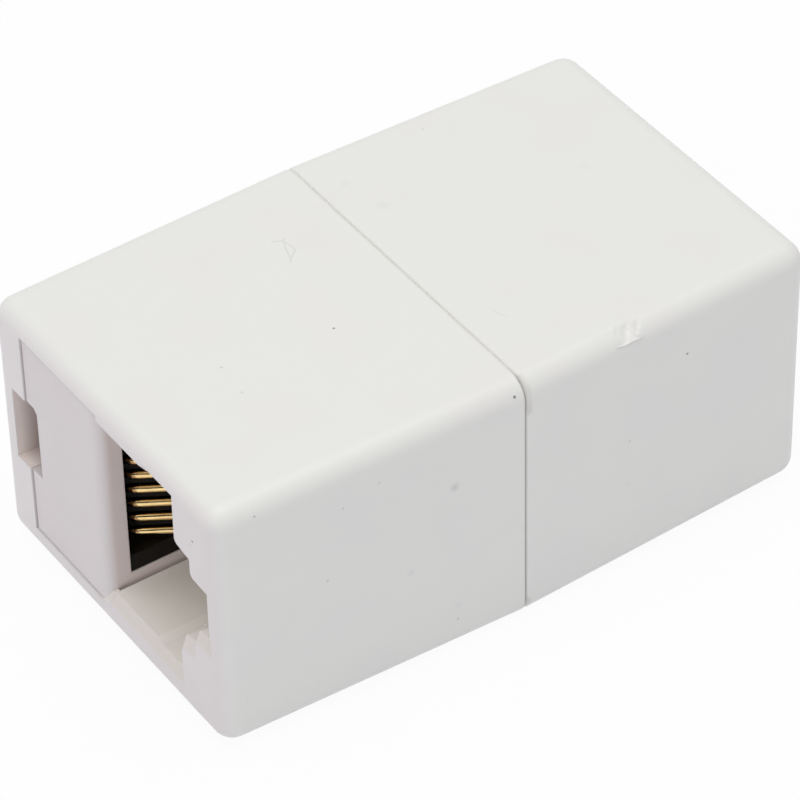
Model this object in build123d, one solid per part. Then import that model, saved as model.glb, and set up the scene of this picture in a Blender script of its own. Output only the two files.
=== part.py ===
from build123d import *
import math
import os

os.makedirs("parts", exist_ok=True)

# In-line coupler for two eight-way modular plugs. All lengths are in millimetres.
# X runs along the plugs: the near port opens towards -X and the far port towards +X.
# Z is up, the seam between the two half shells lies at X = 0, and the part stands on Z = 0.
# At the near port the contacts are on the +Y side and the plug's latch on the -Y side.
# The far port is the near one turned half a turn about Z, so each wire keeps its own height.

# Housing outside
half_length = 19.0
seam_width = 23.0
height = 16.6
side_draft = 0.45
top_draft = 0.05
bottom_draft = 0.3
edge_radius = 1.2
wall = 1.25
front_wall = 1.6

# Seam and the tongue that joins the two shells
seam_gap = 0.1
near_rim_bevel = 0.05
far_rim_radius = 0.22
tongue_length = 1.5
tongue_wall = 0.6

# Snap arms of the near shell and their pockets in the far shell
arm_wall = 0.9
arm_width = 5.0
arm_reach = 4.4
arm_root = 2.7
barb_length = 1.4
barb_height = 0.8

# Plug socket, with heights measured from its centre line and widths from the plane Y = 0
port_rise = 0.5
contact_side = 0.5
body_reach = 6.85
shoulder_reach = 8.25
slot_reach = 9.8
cavity_half = 5.9
latch_side_step = 0.25
widen_reach = 3.9
widen_run = 0.4
keyway_drop = 0.15
shoulder_half = 3.16
shoulder_lean = 0.25
slot_half = 1.76
slot_lean = 0.1
step_radius = 0.35
lead_rise = 0.64
lead_side = 0.25
lead_depth = 0.45
lead_overrun = 0.1
plug_depth = 12.8
core_pocket_wall = 1.0

# White insert that carries the contacts
plate_half = 6.8
plate_reach = 8.05
plate_recess = 0.1
plate_edge_radius = 0.08
mouth_radius = 0.65
window_half = 5.24
insert_back = 1.5
guide_rib = 1.0
guide_rib_height = 1.2

# Release window across the edge of the insert, with its snap arm and catch bar
release_inner = 6.95
release_outer = 9.35
release_half = 2.42
release_chamfer = 0.3
latch_arm = 0.95
latch_hook_length = 1.5
latch_hook_height = 1.15
catch_depth = 3.0
catch_length = 1.2
catch_reach = 7.3

# Contact wires
contact_count = 8
contact_pitch = 1.016
wire_diameter = 0.46
leg_angle = 31.5
hook_depth = 2.2
hook_radius = 0.55
run_offset = 2.05
tip_reach = 2.3
cross_margin = 1.6
cross_radius = 1.5
wire_sides = 8

# Black comb round the contacts
comb_recess = 0.05
rib_drop = 0.1
slot_width = 0.62
wedge_drop = 1.15
wedge_run = 3.8

# Middle cores between the two sockets
core_wall = 1.4

# Clearances
fit = 0.05
plate_fit = 0.05
seat_fit = 0.02
seat_gap = 0.2
wire_gap = 0.04
end_fit = 0.1
cut_overrun = 1.0

# Places worked out from the sizes above
port_z = height / 2 + port_rise
plug_stop = half_length - plug_depth
inner_half_width = seam_width / 2 - side_draft - wall
inner_floor = bottom_draft + wall
inner_ceiling = height - top_draft - wall
inner_back = plug_stop + fit
arm_inside = inner_half_width - arm_wall - barb_height / 2
core_half_width = arm_inside - end_fit
cross_half = plug_stop - cross_margin
front_inside = half_length - front_wall
plate_front = half_length - plate_recess
plate_back = front_inside + fit
bay_floor = port_z - plate_half
bay_side = contact_side - seat_gap
tray_top = min(inner_ceiling, port_z + plate_half) - fit
catch_back = half_length - catch_depth - catch_length
latch_end = catch_back - end_fit - latch_hook_length
wire_radius = wire_diameter / 2
run_y = contact_side + run_offset
hook_x = half_length - hook_depth - wire_radius - hook_radius
vertex_x = hook_x + hook_radius / math.tan(math.radians(leg_angle / 2))
leg_slope = math.tan(math.radians(leg_angle))
comb_face = contact_side + comb_recess
comb_back = run_y + wire_radius + wire_gap
insert_inside = comb_back + fit
insert_outside = insert_inside + insert_back
nose_radius = hook_radius - wire_radius - wire_gap
insert_end = plug_stop + end_fit
comb_end = insert_end + end_fit
contact_heights = [
    port_z + (index - (contact_count - 1) / 2) * contact_pitch for index in range(contact_count)
]


def block(x_low, x_high, y_low, y_high, z_low, z_high):
    """Box between two corners."""
    middle = Pos((x_low + x_high) / 2, (y_low + y_high) / 2, (z_low + z_high) / 2)
    return middle * Box(x_high - x_low, y_high - y_low, z_high - z_low)


def prism(points, z_low, z_high):
    """Upright prism on an outline in the XY plane."""
    outline = make_face(Polyline(*points, close=True))
    return Pos(0, 0, z_low) * extrude(outline, z_high - z_low)


def far(part):
    """The same piece at the far port."""
    return Rot(0, 0, 180) * part


def outer_body(is_near):
    """Drafted half block with rounded edges and the shell's own rim at the seam."""
    seam_x = -seam_gap / 2
    half_width = seam_width / 2
    from_above = [
        (seam_x, -half_width),
        (seam_x, half_width),
        (-half_length, half_width - side_draft),
        (-half_length, side_draft - half_width),
    ]
    from_side = [
        (seam_x, 0),
        (seam_x, height),
        (-half_length, height - top_draft),
        (-half_length, bottom_draft),
    ]
    side_face = Plane.XZ * make_face(Polyline(*from_side, close=True))
    body = prism(from_above, 0, height) & extrude(side_face, half_width, both=True)
    rim = body.faces().sort_by(Axis.X)[-1].edges()
    body = fillet(body.edges() - rim, edge_radius)
    rim = body.faces().sort_by(Axis.X)[-1].edges()
    return chamfer(rim, near_rim_bevel) if is_near else fillet(rim, far_rim_radius)


def socket_outline(rise, side, steps):
    """Upper and lower edge of the socket, with its latch steps, as one closed line of points."""
    main = cavity_half + rise
    latch = main + latch_side_step
    half = [
        (contact_side, main),
        (-widen_reach, main),
        (-widen_reach - widen_run, latch),
        (-body_reach - side, latch),
    ]
    upper = half + [(y, z - keyway_drop) for y, z in steps]
    lower = half + [(y, z + keyway_drop) for y, z in steps]
    return upper + [(y, -z) for y, z in reversed(lower)]


def socket_section(x, rise, side):
    """Stepped socket across X, grown by rise in height and by side at the latch steps."""
    shoulder = (-body_reach - side, shoulder_half + rise)
    slot = (-shoulder_reach - side, slot_half + rise)
    steps = [
        shoulder,
        (slot[0], shoulder[1] - shoulder_lean),
        slot,
        (-slot_reach - side, slot[1] - slot_lean),
    ]
    face = make_face(Polyline(*socket_outline(rise, side, steps), close=True))
    corners = [
        vertex
        for vertex in face.vertices()
        for y, z in (shoulder, slot)
        if abs(vertex.X - y) < step_radius and abs(abs(vertex.Y + keyway_drop) - z) < step_radius
    ]
    face = fillet(corners, step_radius)
    return Plane.YZ.offset(-x) * Pos(0, port_z) * face


def socket_hollow():
    """Room for the plug: flared mouth, stepped keyway in the front wall, wider latch room behind."""
    slope = 1 + lead_overrun / lead_depth
    mouth = loft(
        [
            socket_section(half_length + lead_overrun, lead_rise * slope, lead_side * slope),
            socket_section(half_length - lead_depth, 0, 0),
        ],
        ruled=True,
    )
    front = socket_section(half_length - lead_depth, 0, 0)
    keyway = extrude(front, front_wall - lead_depth, dir=(1, 0, 0))
    latch_room = [(-body_reach, shoulder_half), (-slot_reach, shoulder_half)]
    section = make_face(Polyline(*socket_outline(0, 0, latch_room), close=True))
    rear = Plane.YZ.offset(fit - inner_back) * Pos(0, port_z) * section
    room = extrude(rear, front_inside - inner_back + fit, dir=(-1, 0, 0))
    return mouth + keyway + room


def insert_bay():
    """Room for the white insert beside the socket, with its seat and half of the release window."""
    seat = block(
        -half_length - cut_overrun,
        -front_inside,
        bay_side,
        plate_reach,
        bay_floor,
        port_z + plate_half,
    )
    bay = block(-front_inside, -inner_back, bay_side, inner_half_width, bay_floor, inner_ceiling)
    release = block(
        -half_length - cut_overrun,
        -front_inside,
        plate_reach,
        release_outer,
        port_z - release_half,
        port_z + release_half,
    )
    return seat + bay + release


def bay_ribs():
    """Guide ribs and the catch bar that stand in the insert bay."""
    rib_y = insert_outside + fit
    rib_levels = (
        (bay_floor, bay_floor + guide_rib_height),
        (inner_ceiling - guide_rib_height, inner_ceiling),
    )
    ribs = Part()
    for low, high in rib_levels:
        ribs += block(-front_inside, -inner_back, rib_y, rib_y + guide_rib, low, high)
    ribs += block(
        -catch_back - catch_length,
        -catch_back,
        catch_reach,
        inner_half_width,
        port_z - release_half,
        port_z + release_half,
    )
    return ribs


def shell(is_near):
    """Half shell at the near port: with tongue and snap arms, or with their rebate and pockets."""
    body = outer_body(is_near)
    chamber = block(
        -inner_back, cut_overrun, -inner_half_width, inner_half_width, inner_floor, inner_ceiling
    )
    body -= chamber
    body -= socket_hollow()
    body -= insert_bay()
    pocket_y = -body_reach - core_pocket_wall
    keyway_z = port_z - keyway_drop
    pocket_gap = shoulder_half + core_pocket_wall
    for low, high in ((inner_floor, keyway_z - pocket_gap), (keyway_z + pocket_gap, inner_ceiling)):
        body -= block(-front_inside, -inner_back, -inner_half_width, pocket_y, low, high)
    body += bay_ribs()
    arm_outside = arm_inside + arm_wall
    middle_z = height / 2
    if is_near:
        ring = block(
            -seam_gap,
            tongue_length,
            -inner_half_width - tongue_wall,
            inner_half_width + tongue_wall,
            inner_floor - tongue_wall,
            inner_ceiling + tongue_wall,
        )
        ring -= block(
            -seam_gap - cut_overrun,
            tongue_length + cut_overrun,
            -inner_half_width,
            inner_half_width,
            inner_floor,
            inner_ceiling,
        )
        body += ring
        for side in (-1, 1):
            low = middle_z - arm_width / 2
            high = middle_z + arm_width / 2
            arm = block(-inner_back, arm_reach, arm_inside, arm_outside, low, high)
            arm += block(-inner_back, -inner_back + arm_root, arm_inside, inner_half_width, low, high)
            barb = [
                (arm_reach - barb_length, arm_outside),
                (arm_reach - barb_length, arm_outside + barb_height),
                (arm_reach, arm_outside),
            ]
            arm += prism(barb, low, high)
            body += arm if side > 0 else mirror(arm, about=Plane.XZ)
        return body
    body -= block(
        -tongue_length - fit,
        cut_overrun,
        -inner_half_width - tongue_wall - fit,
        inner_half_width + tongue_wall + fit,
        inner_floor - tongue_wall - fit,
        inner_ceiling + tongue_wall + fit,
    )
    for side in (-1, 1):
        pocket = block(
            -arm_reach - end_fit,
            -arm_reach + barb_length + end_fit,
            0,
            arm_outside + barb_height + end_fit,
            middle_z - arm_width / 2 - end_fit,
            middle_z + arm_width / 2 + end_fit,
        )
        body -= pocket if side > 0 else mirror(pocket, about=Plane.XZ)
    return far(body)


def insert():
    """White carrier: front plate with rounded mouth, window frame, back wall and snap arm."""
    plate = block(
        -plate_front,
        -plate_back,
        contact_side,
        plate_reach - plate_fit,
        bay_floor + seat_fit,
        port_z + plate_half - plate_fit,
    )
    mouth = plate.faces().sort_by(Axis.X)[0].edges().sort_by(Axis.Y)[0]
    plate = fillet(mouth, mouth_radius)
    seam_edge = plate.faces().sort_by(Axis.X)[0].edges().sort_by(Axis.Y)[-1]
    plate = fillet(seam_edge, plate_edge_radius)
    release = block(
        -half_length - cut_overrun,
        -plate_back + cut_overrun,
        release_inner,
        plate_reach + cut_overrun,
        port_z - release_half,
        port_z + release_half,
    )
    inner_edges = release.edges().filter_by(Axis.X).group_by(Axis.Y)[0]
    plate -= chamfer(inner_edges.sort_by(Axis.Z)[-1], release_chamfer)
    tray = block(
        -plate_back, -insert_end, contact_side, insert_outside, bay_floor + seat_fit, tray_top
    )
    tray -= block(
        -plate_back,
        -insert_end + cut_overrun,
        contact_side - cut_overrun,
        insert_inside,
        port_z - window_half,
        port_z + window_half,
    )
    arm_low = port_z - release_half + end_fit
    arm_high = port_z + release_half - end_fit
    arm = block(
        -plate_back, -latch_end, release_inner - latch_arm, release_inner, arm_low, arm_high
    )
    hook = [
        (-latch_end - latch_hook_length, release_inner),
        (-latch_end - latch_hook_length, release_inner + latch_hook_height),
        (-latch_end, release_inner),
    ]
    arm += prism(hook, arm_low, arm_high)
    return plate + tray + arm


def comb():
    """Black comb: ribs that slope with the wires, joined by a wedge that the wires hook round."""
    low = port_z - window_half + fit
    high = port_z + window_half - fit
    body = block(-plate_back + fit, -comb_end, comb_face, comb_back, low, high)
    rib_y = run_y + rib_drop
    trough_x = plate_back + cut_overrun
    trough_y = comb_face - cut_overrun
    trough = [
        (-trough_x, trough_y),
        (-trough_x, rib_y - (vertex_x - trough_x) * leg_slope),
        ((rib_y - trough_y) / leg_slope - vertex_x, trough_y),
    ]
    margin = contact_pitch / 2
    body -= prism(trough, contact_heights[0] - margin, contact_heights[-1] + margin)
    slot = block(
        -plate_back - cut_overrun,
        -comb_end + cut_overrun,
        comb_face - cut_overrun,
        comb_back + cut_overrun,
        -slot_width / 2,
        slot_width / 2,
    )
    nose_y = run_y - hook_radius
    flank_y = nose_y + nose_radius - wedge_drop
    with BuildLine() as wedge_line:
        nose = ThreePointArc(
            (-hook_x, nose_y + nose_radius),
            (-hook_x - nose_radius, nose_y),
            (-hook_x, nose_y - nose_radius),
        )
        Polyline(
            nose @ 1,
            (-hook_x + wedge_run, flank_y),
            (-comb_end + 2 * cut_overrun, flank_y),
            (-comb_end + 2 * cut_overrun, nose_y + nose_radius),
            nose @ 0,
        )
    wedge = extrude(make_face(wedge_line.line), slot_width)
    slot -= Pos(0, 0, -slot_width / 2) * wedge
    for z in contact_heights:
        body -= Pos(0, 0, z) * slot
    return body


def wire_route():
    """Line of one wire in the XY plane, from the tip in the near socket to the tip in the far one."""
    tip_x = vertex_x - (run_y + tip_reach) / leg_slope
    points = [
        (-tip_x, -tip_reach),
        (-vertex_x, run_y),
        (-cross_half, run_y),
        (cross_half, -run_y),
        (vertex_x, -run_y),
        (tip_x, tip_reach),
    ]
    return FilletPolyline(*points, radius=[hook_radius, cross_radius, cross_radius, hook_radius])


def along(route, section):
    """Section swept along a line, with its own X axis upright."""
    start = Plane(origin=route @ 0, x_dir=(0, 0, 1), z_dir=route % 0)
    return sweep(start * section, path=route)


def core(groove):
    """Plug stop and lower half of the wire channel, cored from above and below."""
    gap = fit / 2
    outline = make_face(
        Polyline(
            (-plug_stop, -core_half_width),
            (-plug_stop, run_y - gap),
            (-cross_half, run_y - gap),
            (cross_half, -run_y - gap),
            (plug_stop, -run_y - gap),
            (plug_stop, -core_half_width),
            close=True,
        )
    )
    low = inner_floor + fit
    high = inner_ceiling - fit
    body = Pos(0, 0, low) * extrude(outline, high - low)
    hollow = offset(outline, amount=-core_wall, kind=Kind.INTERSECTION)
    depth = (high - low - core_wall) / 2
    body -= Pos(0, 0, low) * extrude(hollow, depth)
    body -= Pos(0, 0, high - depth) * extrude(hollow, depth)
    for z in contact_heights:
        body -= Pos(0, 0, z) * groove
    return body


route = wire_route()
wire_section = RegularPolygon(wire_radius, wire_sides, major_radius=False, rotation=180 / wire_sides)
wire = along(route, wire_section)
groove_width = wire_diameter + 2 * wire_gap
groove = along(route, Rectangle(groove_width, groove_width))
near_core = core(groove)
near_insert = insert()
near_comb = comb()

pieces = {
    "near_shell": shell(True),
    "far_shell": shell(False),
    "near_insert": near_insert,
    "far_insert": far(near_insert),
    "near_comb": near_comb,
    "far_comb": far(near_comb),
    "near_core": near_core,
    "far_core": far(near_core),
}
for index, z in enumerate(contact_heights):
    pieces[f"contact_{index + 1}"] = Pos(0, 0, z) * wire

for name, piece in pieces.items():
    export_step(piece, f"parts/{name}.step")
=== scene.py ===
"""Looks of a white inline coupler for two eight-way modular plugs, around its fixed frame."""
import math
from collections import namedtuple

import bmesh
import bpy
from bpy.props import BoolProperty, FloatProperty, FloatVectorProperty, IntProperty, PointerProperty
from bpy.types import Operator, Panel, PropertyGroup
from mathutils import Matrix, Vector


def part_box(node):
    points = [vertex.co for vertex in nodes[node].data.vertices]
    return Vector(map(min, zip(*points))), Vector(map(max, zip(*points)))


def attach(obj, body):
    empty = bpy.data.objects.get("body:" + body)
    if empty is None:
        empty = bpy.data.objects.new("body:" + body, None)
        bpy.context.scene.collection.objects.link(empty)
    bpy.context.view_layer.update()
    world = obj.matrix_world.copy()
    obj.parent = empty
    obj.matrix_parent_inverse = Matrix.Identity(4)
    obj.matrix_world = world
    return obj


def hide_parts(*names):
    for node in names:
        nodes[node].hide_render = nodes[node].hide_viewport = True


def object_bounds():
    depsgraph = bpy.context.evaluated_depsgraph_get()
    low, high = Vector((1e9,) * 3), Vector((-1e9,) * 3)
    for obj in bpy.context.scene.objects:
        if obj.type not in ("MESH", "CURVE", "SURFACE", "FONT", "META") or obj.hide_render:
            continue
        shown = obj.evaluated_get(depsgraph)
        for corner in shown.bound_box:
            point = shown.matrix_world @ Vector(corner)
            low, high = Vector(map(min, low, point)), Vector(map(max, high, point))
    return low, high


bl_info = {
    "name": "Inline Coupler Looks",
    "version": (1, 0, 0),
    "blender": (4, 5, 0),
    "location": "View3D > Sidebar > Coupler",
    "description": "Finishes the shells, inserts and spring contacts of an inline coupler and lights it",
    "category": "Object",
}

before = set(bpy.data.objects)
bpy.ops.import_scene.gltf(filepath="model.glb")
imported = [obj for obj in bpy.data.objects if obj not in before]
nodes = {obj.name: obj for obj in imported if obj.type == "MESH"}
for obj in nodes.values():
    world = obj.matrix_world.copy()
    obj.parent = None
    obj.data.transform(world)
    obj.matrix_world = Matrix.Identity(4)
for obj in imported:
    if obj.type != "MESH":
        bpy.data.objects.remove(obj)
cad_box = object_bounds()

MM = 0.001
HALF_LENGTH = cad_box[1][0]
HALF_WIDTH = cad_box[1][1]
HEIGHT = cad_box[1][2]

# How far the housing narrows from the seam to each end, the radius of its long edges, and the ports' middle
SIDE_DRAFT = 0.45 * MM
TOP_DRAFT = 0.05 * MM
EDGE_RADIUS = 1.2 * MM
PORT_HEIGHT = 8.8 * MM

# The spring contacts, as the frame has them
FIRST_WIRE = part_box("contact_1")
LAST_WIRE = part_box("contact_8")
WIRE_COUNT = 8
WIRE_DIAMETER = FIRST_WIRE[1].z - FIRST_WIRE[0].z
WIRE_PITCH = (LAST_WIRE[0].z - FIRST_WIRE[0].z) / (WIRE_COUNT - 1)
WIRE_NAMES = [f"contact_{index + 1}" for index in range(WIRE_COUNT)]


class ShellFinish(PropertyGroup):
    """Moulded plastic of the two half shells."""

    colour: FloatVectorProperty(
        name="Colour", description="Main colour of the shells", subtype="COLOR", default=(0.80, 0.803, 0.77)
    )
    warm_colour: FloatVectorProperty(
        name="Warm patches", description="Colour of the faint warm patches in the plastic",
        subtype="COLOR", default=(0.80, 0.793, 0.768),
    )
    # Painted light: the walls inside the sockets are painted lighter and warmer for light that comes through
    # the plastic
    inner_glow_colour: FloatVectorProperty(
        name="Inner colour",
        description="Colour of the walls inside the sockets, which light also reaches through the plastic",
        subtype="COLOR", default=(0.98, 0.94, 0.89),
    )
    # Painted shade: the flared edges of the sockets are painted darker and warmer than the rest of the shell
    # plastic
    flare_shade_colour: FloatVectorProperty(
        name="Flare colour", description="Colour of the flared edges of the sockets",
        subtype="COLOR", default=(0.775, 0.725, 0.69),
    )
    # Painted shade: the walls around the inserts' front plates are painted darker, for the gap beside the
    # plates
    seat_shade_colour: FloatVectorProperty(
        name="Seat colour", description="Colour of the walls around the inserts' front plates",
        subtype="COLOR", default=(0.66, 0.63, 0.64),
    )
    # Painted light and shade: the release windows' walls are painted lighter at the front and darker deeper
    # in
    release_lit_colour: FloatVectorProperty(
        name="Release colour", description="Colour of the walls at the front of the release windows",
        subtype="COLOR", default=(0.93, 0.84, 0.79),
    )
    release_shaded_colour: FloatVectorProperty(
        name="Deep release colour", description="Colour of the walls deeper in the release windows",
        subtype="COLOR", default=(0.54, 0.45, 0.43),
    )
    seam_colour: FloatVectorProperty(
        name="Seam colour", description="Colour of the flash that nearly closes the top of the seam",
        subtype="COLOR", default=(0.76, 0.74, 0.71),
    )
    # Painted light and shade: the end faces are painted with a pinkish tint of light, darker beside the
    # stepped keyway
    end_light_tint_colour: FloatVectorProperty(
        name="End colour", description="Colour of the end faces beside the release window",
        subtype="COLOR", default=(0.815, 0.78, 0.78),
    )
    keyway_end_shade_colour: FloatVectorProperty(
        name="Keyway end colour", description="Colour of the end faces beside the stepped keyway",
        subtype="COLOR", default=(0.782, 0.735, 0.732),
    )
    roughness: FloatProperty(
        name="Roughness", description="Middle roughness of the satin surface", default=0.42, min=0, max=1
    )
    edge_softness: FloatProperty(
        name="Edge softness", description="Radius to which crisp edges look rounded",
        default=0.09 * MM, unit="LENGTH", precision=5,
    )
    grain_size: FloatProperty(
        name="Grain size", description="Distance between the bumps of the moulded grain",
        default=0.25 * MM, unit="LENGTH", precision=5,
    )


class InsertFinish(PropertyGroup):
    """Moulded plastic of the inserts and the cores behind them."""

    colour: FloatVectorProperty(
        name="Colour", description="Main colour of the inserts",
        subtype="COLOR", default=(0.747, 0.709, 0.709),
    )
    # Painted light: the inserts' walls inside are painted warmer for light that comes through the plastic
    inner_glow_colour: FloatVectorProperty(
        name="Inner colour", description="Colour of the inserts' walls inside",
        subtype="COLOR", default=(0.79, 0.705, 0.685),
    )
    core_colour: FloatVectorProperty(
        name="Core colour", description="Main colour of the cores",
        subtype="COLOR", default=(0.62, 0.61, 0.59),
    )
    roughness: FloatProperty(
        name="Roughness", description="Middle roughness of the inserts", default=0.45, min=0, max=1
    )


class CombFinish(PropertyGroup):
    """Black plastic of the combs between the contacts."""

    colour: FloatVectorProperty(
        name="Colour", description="Colour of the combs", subtype="COLOR", default=(0.005, 0.004, 0.003)
    )
    roughness: FloatProperty(
        name="Roughness", description="Roughness of the combs", default=0.5, min=0, max=1
    )


class ContactShape(PropertyGroup):
    """Route, section and plating of the spring contacts."""

    count: IntProperty(name="Wires", description="Number of wires side by side", default=WIRE_COUNT, min=1)
    pitch: FloatProperty(
        name="Pitch", description="Distance from one wire to the next",
        default=WIRE_PITCH, unit="LENGTH", precision=5,
    )
    diameter: FloatProperty(
        name="Diameter", description="Diameter of the round wire",
        default=WIRE_DIAMETER, unit="LENGTH", precision=5,
    )
    leg_angle: FloatProperty(
        name="Leg angle", description="Angle between a spring leg and the straight run behind it",
        default=math.radians(31.5), subtype="ANGLE",
    )
    hook_radius: FloatProperty(
        name="Hook radius",
        description="Radius of the wire's middle line in the hook at the front of the comb",
        default=0.55 * MM, unit="LENGTH", precision=5,
    )
    tip_reach: FloatProperty(
        name="Tip reach", description="How far a wire's tip stands past the coupler's middle plane",
        default=2.3 * MM, unit="LENGTH", precision=5,
    )
    cross_half: FloatProperty(
        name="Crossing half length",
        description="Half the length over which a wire crosses from one side to the other",
        default=4.6 * MM, unit="LENGTH", precision=5,
    )
    cross_radius: FloatProperty(
        name="Crossing radius", description="Radius of the two bends of the crossing",
        default=1.5 * MM, unit="LENGTH", precision=5,
    )
    bend_steps: IntProperty(name="Bend steps", description="Straight steps in each bend", default=20, min=4)
    sides: IntProperty(name="Sides", description="Sides of the wire's section", default=28, min=6)
    gold: FloatVectorProperty(
        name="Gold", description="Colour of the plating", subtype="COLOR", default=(0.95, 0.72, 0.36)
    )
    worn_gold: FloatVectorProperty(
        name="Worn gold", description="Colour of the duller plating",
        subtype="COLOR", default=(0.80, 0.55, 0.24),
    )
    roughness: FloatProperty(
        name="Roughness", description="Roughness of the plating", default=0.14, min=0, max=1
    )
    # Painted shade on the hooks: the plating there is painted dull brown, then black where the wire turns
    # into the comb
    bend_shade_colour: FloatVectorProperty(
        name="Dull colour", description="Colour of the dull bends",
        subtype="COLOR", default=(0.42, 0.25, 0.12),
    )
    shade_start: FloatProperty(
        name="Dull start", description="Where the plating dulls, from the end of the straight leg",
        default=-0.02 * MM, unit="LENGTH", precision=5,
    )
    shade_fade: FloatProperty(
        name="Dull fade", description="Length over which it dulls",
        default=0.1 * MM, unit="LENGTH", precision=5,
    )
    shade_point: FloatProperty(
        name="Dull point", description="Length of the bright point",
        default=0.25 * MM, unit="LENGTH", precision=5,
    )
    # Painted shadow on the hidden bends, black
    bend_shadow_colour: FloatVectorProperty(
        name="Black colour", description="Colour of the hidden bends",
        subtype="COLOR", default=(0.02, 0.012, 0.008),
    )
    shadow_start: FloatProperty(
        name="Black start", description="Where the plating blackens, from the end of the straight leg",
        default=0.18 * MM, unit="LENGTH", precision=5,
    )
    shadow_fade: FloatProperty(
        name="Black fade", description="Length over which it blackens",
        default=0.35 * MM, unit="LENGTH", precision=5,
    )
    shadow_point: FloatProperty(
        name="Black point", description="Length of the dull point",
        default=0.35 * MM, unit="LENGTH", precision=5,
    )


class StageSetup(PropertyGroup):
    """Floor, lamps and camera."""

    show_floor: BoolProperty(name="Floor", description="Add the floor", default=True)
    floor_size: FloatProperty(
        name="Floor size", description="Side of the square floor", default=4, unit="LENGTH"
    )
    floor_colour: FloatVectorProperty(
        name="Floor colour", description="Colour of the floor", subtype="COLOR", default=(0.88, 0.88, 0.93)
    )
    floor_glow: FloatProperty(
        name="Floor glow", description="Share of plain white in the floor that is seen",
        default=0.94, min=0, max=1, subtype="FACTOR",
    )
    sky_strength: FloatProperty(
        name="Sky strength", description="Strength of the even light from all sides", default=0.53, min=0
    )
    top_power: FloatProperty(
        name="Overhead power", description="Power of the overhead soft lamp in watts", default=1.70, min=0
    )
    top_height: FloatProperty(
        name="Overhead height", description="Height of the overhead lamp", default=0.6, unit="LENGTH"
    )
    top_size: FloatProperty(
        name="Overhead size", description="Side of the overhead lamp", default=0.5, unit="LENGTH"
    )
    front_power: FloatProperty(
        name="Front power", description="Power of the soft lamp in front of the near port in watts",
        default=0.26, min=0,
    )
    front_azimuth: FloatProperty(
        name="Front azimuth", description="Turn of the front lamp about the vertical",
        default=math.radians(-62), subtype="ANGLE",
    )
    front_elevation: FloatProperty(
        name="Front elevation", description="Height of the front lamp above level",
        default=math.radians(34), subtype="ANGLE",
    )
    front_distance: FloatProperty(
        name="Front distance", description="From the front lamp to the coupler", default=0.55, unit="LENGTH"
    )
    front_size: FloatProperty(
        name="Front size", description="Side of the front lamp", default=0.3, unit="LENGTH"
    )
    card_radius: FloatProperty(
        name="Card radius", description="Radius of the dark card that only gloss mirrors",
        default=0.11, unit="LENGTH",
    )
    card_distance: FloatProperty(
        name="Card distance", description="From the dark card to the coupler", default=0.3, unit="LENGTH"
    )
    azimuth: FloatProperty(
        name="Azimuth", description="Turn of the view about the vertical",
        default=math.radians(-33.42), subtype="ANGLE",
    )
    elevation: FloatProperty(
        name="Elevation", description="Height of the view above level",
        default=math.radians(41.01), subtype="ANGLE",
    )
    roll: FloatProperty(
        name="Roll", description="Roll of the camera", default=math.radians(-1.38), subtype="ANGLE"
    )
    distance: FloatProperty(
        name="Distance", description="From the camera to the coupler's middle",
        default=0.24988, unit="LENGTH", precision=5,
    )
    lens: FloatProperty(
        name="Lens", description="Focal length in millimetres of the lens", default=206.42, min=1
    )
    aim_right: FloatProperty(
        name="Aim right", description="How far right of the middle the camera aims",
        default=-0.198 * MM, unit="LENGTH", precision=6,
    )
    aim_up: FloatProperty(
        name="Aim up", description="How far above the middle the camera aims",
        default=-0.690 * MM, unit="LENGTH", precision=6,
    )


def shade(tree, kind, inputs=None, **settings):
    """Adds a node, sets its settings, and fills or links its named or numbered inputs."""
    node = tree.nodes.new(kind)
    for key, value in settings.items():
        setattr(node, key, value)
    for key, value in (inputs or {}).items():
        socket = node.inputs[key]
        if isinstance(value, bpy.types.NodeSocket):
            tree.links.new(value, socket)
        else:
            socket.default_value = value
    return node


def calc(tree, operation, *values, **settings):
    """Result of an operation on numbers."""
    inputs = dict(enumerate(values))
    return shade(tree, "ShaderNodeMath", inputs, operation=operation, **settings).outputs[0]


def calc_vector(tree, operation, *values, **named):
    """Result of an operation on vectors, which is a number for a length, a distance or a dot product."""
    node = shade(tree, "ShaderNodeVectorMath", {**dict(enumerate(values)), **named}, operation=operation)
    return node.outputs["Value" if operation in ("LENGTH", "DISTANCE", "DOT_PRODUCT") else "Vector"]


def strongest(tree, values):
    """The largest of several values."""
    result = values[0]
    for value in values[1:]:
        result = calc(tree, "MAXIMUM", result, value)
    return result


# Where most values of a noise lie
NOISE_RANGE = (0.35, 0.65)


def between(tree, value, low, high, start=NOISE_RANGE[0], end=NOISE_RANGE[1], curve="LINEAR"):
    """Value that goes from low to high as another goes from its start to its end."""
    return shade(
        tree,
        "ShaderNodeMapRange",
        {"Value": value, "From Min": start, "From Max": end, "To Min": low, "To Max": high},
        interpolation_type=curve,
    ).outputs["Result"]


def noise(tree, place, size, detail=2.0, roughness=0.5):
    """Noise whose features have a size in metres."""
    inputs = {"Vector": place, "Scale": 1 / size, "Detail": detail, "Roughness": roughness}
    return shade(tree, "ShaderNodeTexNoise", inputs).outputs["Fac"]


def bump(tree, height, depth, normal=None, **settings):
    """Normals of a surface with bumps of a depth in metres, over other normals if there are any."""
    inputs = {"Height": height, "Distance": depth}
    if normal is not None:
        inputs["Normal"] = normal
    return shade(tree, "ShaderNodeBump", inputs, **settings).outputs["Normal"]


def opaque(colour):
    """Colour with full alpha."""
    return (*colour, 1.0)


def mix_colour(tree, factor, first, second):
    """Two colours mixed by a factor."""
    return shade(tree, "ShaderNodeMix", {0: factor, 6: first, 7: second}, data_type="RGBA").outputs[2]


def graded(tree, value, limits, first, second):
    """Colour that goes from one to another as a value passes two limits."""
    return mix_colour(tree, between(tree, value, 0.0, 1.0, *limits), opaque(first), opaque(second))


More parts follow.
